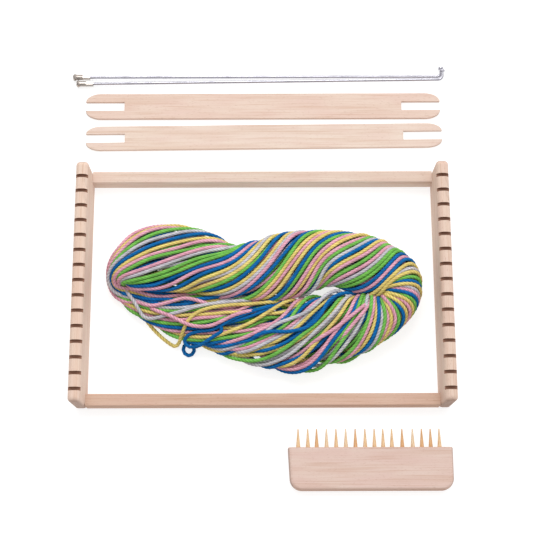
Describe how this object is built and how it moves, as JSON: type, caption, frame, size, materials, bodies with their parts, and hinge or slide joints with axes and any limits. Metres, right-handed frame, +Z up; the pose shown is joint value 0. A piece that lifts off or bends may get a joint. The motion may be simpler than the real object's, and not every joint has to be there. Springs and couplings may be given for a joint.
{
  "type": "weaving loom",
  "caption": "Small rectangular wooden weaving loom with notched side bars, laid out with forked shuttles, hooked wire edge rods, a toothed beater comb and a hank of coloured yarn.",
  "frame": {"origin": "middle of the laid-out kit, on the table it lies on", "axes": "+Z up, +X along the loom's crossbars and the warp, +Y along its notched side bars, from the comb towards the rods"},
  "size_m": [0.2644, 0.2977, 0.035],
  "materials": {
    "frame_wood": "fine sanded, unvarnished beech",
    "dowel_wood": "unvarnished beech dowel",
    "shuttle_wood": "fine sanded, unvarnished beech",
    "comb_wood": "fine sanded, unvarnished beech",
    "tooth_bamboo": "pointed bamboo stick",
    "rod_steel": "drawn, bright zinc",
    "nipple_metal": "nickel plated",
    "yarn": "soft spun yarn in blue, green, pink, yellow and pale lilac"
  },
  "bodies": {
    "loom_frame": {"left_notched_bar": "frame_wood", "right_notched_bar": "frame_wood", "rear_crossbar": "frame_wood", "front_crossbar": "frame_wood", "corner_dowel_front_left": "dowel_wood", "corner_dowel_front_right": "dowel_wood", "corner_dowel_rear_left": "dowel_wood", "corner_dowel_rear_right": "dowel_wood"},
    "rear_shuttle": {"shuttle_rear": "shuttle_wood"},
    "front_shuttle": {"shuttle_front": "shuttle_wood"},
    "rear_rod": {"rod_rear": "rod_steel"},
    "front_rod": {"rod_front": "rod_steel"},
    "rear_nipple": {"nipple_rear": "nipple_metal"},
    "front_nipple": {"nipple_front": "nipple_metal"},
    "beater_comb": {"comb_handle": "comb_wood", "comb_tooth_01": "tooth_bamboo", "comb_tooth_02": "tooth_bamboo", "comb_tooth_03": "tooth_bamboo", "comb_tooth_04": "tooth_bamboo", "comb_tooth_05": "tooth_bamboo", "comb_tooth_06": "tooth_bamboo", "comb_tooth_07": "tooth_bamboo", "comb_tooth_08": "tooth_bamboo", "comb_tooth_09": "tooth_bamboo", "comb_tooth_10": "tooth_bamboo", "comb_tooth_11": "tooth_bamboo", "comb_tooth_12": "tooth_bamboo", "comb_tooth_13": "tooth_bamboo", "comb_tooth_14": "tooth_bamboo", "comb_tooth_15": "tooth_bamboo", "comb_tooth_16": "tooth_bamboo"},
    "yarn": {"yarn_hank": "yarn"}
  },
  "joints": [
    {"name": "rear_shuttle_lift", "type": "slide", "parent": "loom_frame", "child": "rear_shuttle", "axis": [0, 0, 1], "range_m": [0, 0.06]},
    {"name": "front_shuttle_lift", "type": "slide", "parent": "loom_frame", "child": "front_shuttle", "axis": [0, 0, 1], "range_m": [0, 0.06]},
    {"name": "rear_rod_lift", "type": "slide", "parent": "loom_frame", "child": "rear_rod", "axis": [0, 0, 1], "range_m": [0, 0.06]},
    {"name": "front_rod_lift", "type": "slide", "parent": "rear_rod", "child": "front_rod", "axis": [0, 0, 1], "range_m": [0, 0.06]},
    {"name": "rear_nipple_turn", "type": "hinge", "parent": "rear_rod", "child": "rear_nipple", "pos_m": [-0.13217, 0.14165, 0.00261], "axis": [1, 0.0008, -0.0023], "continuous": true},
    {"name": "front_nipple_turn", "type": "hinge", "parent": "front_rod", "child": "front_nipple", "pos_m": [-0.12967, 0.13665, 0.00261], "axis": [0.9999, 0.0081, 0.0063], "continuous": true},
    {"name": "beater_comb_lift", "type": "slide", "parent": "loom_frame", "child": "beater_comb", "axis": [0, 0, 1], "range_m": [0, 0.06]},
    {"name": "yarn_hank_lift", "type": "slide", "parent": "loom_frame", "child": "yarn", "axis": [0, 0, 1], "range_m": [0, 0.06]}
  ]
}
